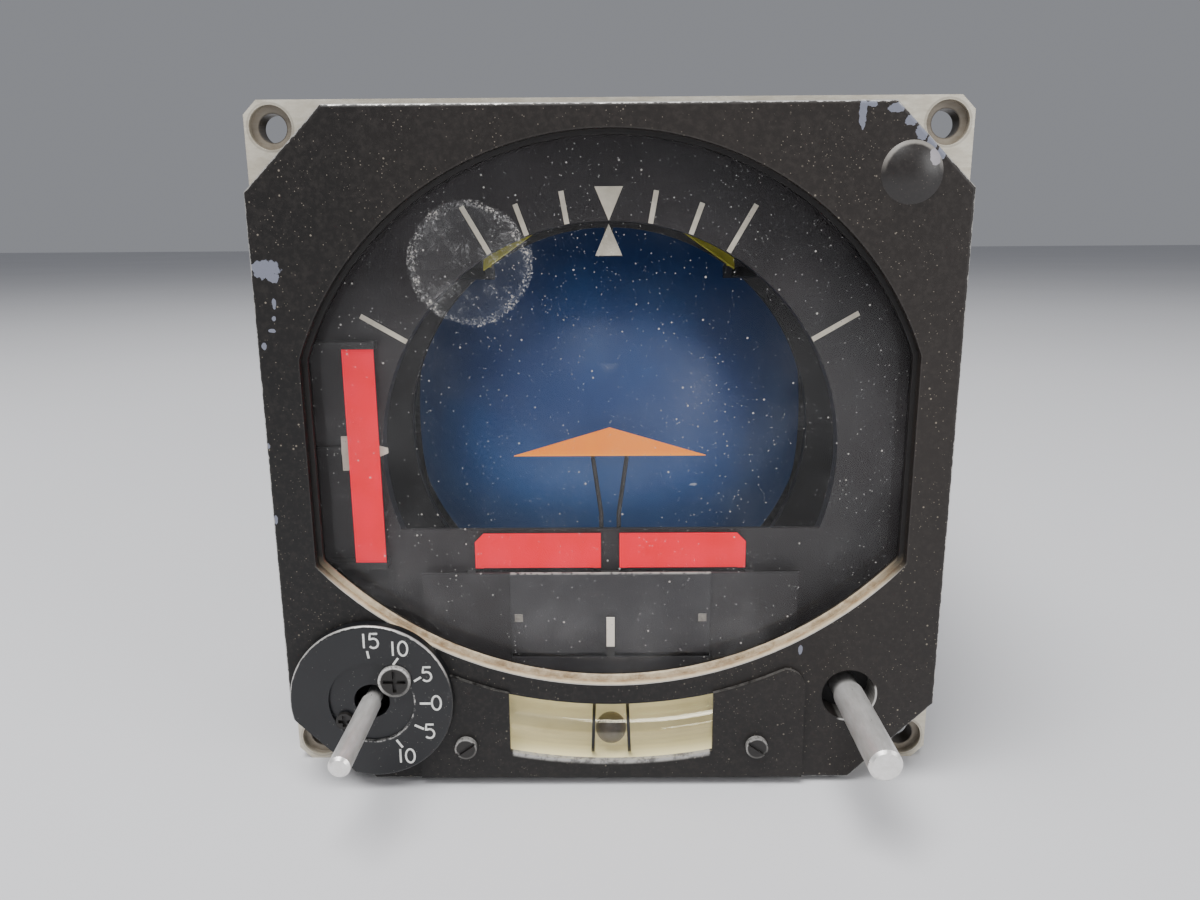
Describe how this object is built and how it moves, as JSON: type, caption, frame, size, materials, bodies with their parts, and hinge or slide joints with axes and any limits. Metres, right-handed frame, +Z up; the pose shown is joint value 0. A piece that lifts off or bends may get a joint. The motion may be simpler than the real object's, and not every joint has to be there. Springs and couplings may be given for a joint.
{
  "type": "attitude_indicator",
  "caption": "Square-flanged aircraft attitude director indicator with a blue sphere, delta symbol, parked command bars, warning flags, slip ball, trim dial and bare knob shafts.",
  "frame": {"origin": "centre of the bolt pattern on the rear face of the mounting flange", "axes": "+X viewer's right, +Y into the panel, +Z up"},
  "size_m": [0.1058, 0.2137, 0.1058],
  "materials": {
    "flange_metal": "bare, satin",
    "bezel_paint": "matte black, worn",
    "window": "clear",
    "sealant": "aged sealant",
    "mask_paint": "matte dark grey",
    "panel_paint": "matte grey",
    "steel": "machined",
    "brass_parts": "machined",
    "delta_paint": "matte orange yellow",
    "bar_paint": "matte yellow",
    "flag_paint": "fluorescent red",
    "white_paint": "matte white",
    "sky_paint": "matte blue",
    "ground_paint": "matte dark brown",
    "machined": "machined",
    "motor_can": "satin",
    "liquid_glass": "yellowed",
    "black_plastic": "black",
    "cream_paint": "cream",
    "ball_steel": "black",
    "case_paint": "satin black",
    "board": "circuit board"
  },
  "bodies": {
    "housing": {"mounting_flange": "flange_metal", "bezel": "bezel_paint", "window_glass": "window", "glass_gasket": "sealant", "dial_mask": "mask_paint", "lower_panel": "panel_paint", "flag_guides": "mask_paint", "slide_rods": "steel", "delta_symbol": "delta_paint", "symbol_support": "steel", "pointer_guides": "machined", "roll_motor": "motor_can", "synchro_stator": "motor_can", "command_motors": "motor_can", "inclinometer_tube": "liquid_glass", "inclinometer_caps": "black_plastic", "index_wires": "steel", "inclinometer_back": "cream_paint", "inclinometer_cover": "bezel_paint", "cover_screws": "steel", "trim_dial": "bezel_paint", "dial_screws": "steel", "knob_bushes": "brass_parts", "knob_potentiometers": "black_plastic", "blanking_cap": "bezel_paint", "chassis_rails": "machined", "front_bulkhead": "machined", "rear_bulkhead": "machined", "roll_bearings": "steel", "brush_block": "black_plastic", "servo_board": "board", "case_can": "case_paint", "rear_cover": "case_paint", "rear_screws": "steel", "rear_connector": "steel"},
    "gimbal": {"roll_gimbal": "machined", "roll_shaft": "steel", "roll_gear": "brass_parts", "slip_rings": "brass_parts", "synchro_rotor": "motor_can", "pitch_axle": "steel", "pitch_motor": "motor_can"},
    "ball": {"sky_shell": "sky_paint", "ground_shell": "ground_paint", "ball_hubs": "machined", "pitch_gear": "brass_parts"},
    "pitch_pinion": {"pitch_pinion": "brass_parts"},
    "pointer_ring": {"pointer_ring": "white_paint"},
    "drive_shaft": {"pointer_drive_shaft": "steel"},
    "roll_pinion": {"roll_pinion": "brass_parts"},
    "left_bar": {"left_command_bar": "bar_paint"},
    "right_bar": {"right_command_bar": "bar_paint"},
    "side_flag": {"glideslope_flag": "flag_paint"},
    "left_flag": {"left_low_flag": "flag_paint"},
    "right_flag": {"right_low_flag": "flag_paint"},
    "side_pointer": {"glideslope_pointer": "white_paint"},
    "slider_bar": {"localizer_bar": "white_paint"},
    "slip_ball": {"inclinometer_ball": "ball_steel"},
    "left_shaft": {"left_knob_shaft": "steel"},
    "right_shaft": {"right_knob_shaft": "steel"}
  },
  "joints": [
    {"name": "roll", "type": "hinge", "parent": "housing", "child": "gimbal", "pos_m": [0, 0, 0], "axis": [0, 1, 0], "continuous": true},
    {"name": "pitch", "type": "hinge", "parent": "gimbal", "child": "ball", "pos_m": [0, 0.04, 0], "axis": [1, 0, 0], "range_deg": [-155, 15]},
    {"name": "pitch_pinion_spin", "type": "hinge", "parent": "gimbal", "child": "pitch_pinion", "pos_m": [0, 0.04, -0.018], "axis": [1, 0, 0], "range_deg": [-80, 780]},
    {"name": "pointer_ring_turn", "type": "hinge", "parent": "housing", "child": "pointer_ring", "pos_m": [0, 0, 0], "axis": [0, 1, 0], "continuous": true},
    {"name": "drive_shaft_spin", "type": "hinge", "parent": "housing", "child": "drive_shaft", "pos_m": [-0.03606, 0, 0.03606], "axis": [0, 1, 0], "continuous": true},
    {"name": "roll_pinion_spin", "type": "hinge", "parent": "housing", "child": "roll_pinion", "pos_m": [0.035, 0, 0.035], "axis": [0, 1, 0], "continuous": true},
    {"name": "left_bar_pitch", "type": "hinge", "parent": "housing", "child": "left_bar", "pos_m": [-0.0469, 0.088, 0], "axis": [1, 0, 0], "range_deg": [0, 37], "stiffness_Nm_per_rad": 0.01, "springref_deg": -20.05},
    {"name": "right_bar_pitch", "type": "hinge", "parent": "housing", "child": "right_bar", "pos_m": [0.0469, 0.088, 0], "axis": [1, 0, 0], "range_deg": [0, 37], "stiffness_Nm_per_rad": 0.01, "springref_deg": -20.05},
    {"name": "side_flag_slide", "type": "slide", "parent": "housing", "child": "side_flag", "axis": [-1, 0, 0], "range_m": [0, 0.0094], "stiffness_N_per_m": 2, "springref_m": -0.005},
    {"name": "left_flag_slide", "type": "slide", "parent": "housing", "child": "left_flag", "axis": [0, 0, -1], "range_m": [0, 0.0073], "stiffness_N_per_m": 2, "springref_m": -0.006},
    {"name": "right_flag_slide", "type": "slide", "parent": "housing", "child": "right_flag", "axis": [0, 0, -1], "range_m": [0, 0.0073], "stiffness_N_per_m": 2, "springref_m": -0.006},
    {"name": "glideslope_slide", "type": "slide", "parent": "housing", "child": "side_pointer", "axis": [0, 0, 1], "range_m": [-0.013, 0.013], "stiffness_N_per_m": 3, "springref_m": 0.0001},
    {"name": "localizer_slide", "type": "slide", "parent": "housing", "child": "slider_bar", "axis": [1, 0, 0], "range_m": [-0.0145, 0.0145], "stiffness_N_per_m": 2},
    {"name": "slip_ball_swing", "type": "hinge", "parent": "housing", "child": "slip_ball", "pos_m": [0, -0.0076, 0.0338], "axis": [0, 1, 0], "range_deg": [-9.5, 9.5]},
    {"name": "left_knob_turn", "type": "hinge", "parent": "housing", "child": "left_shaft", "pos_m": [-0.0375, -0.02, -0.0374], "axis": [0, 1, 0], "range_deg": [-150, 150]},
    {"name": "right_knob_turn", "type": "hinge", "parent": "housing", "child": "right_shaft", "pos_m": [0.0375, -0.02, -0.0374], "axis": [0, 1, 0], "range_deg": [-150, 150]}
  ],
  "couplings": [
    {"joint": "pitch_pinion_spin", "follows": "pitch", "ratio": -5},
    {"joint": "pointer_ring_turn", "follows": "roll", "ratio": 1},
    {"joint": "drive_shaft_spin", "follows": "roll", "ratio": -7.5},
    {"joint": "roll_pinion_spin", "follows": "roll", "ratio": -10}
  ]
}
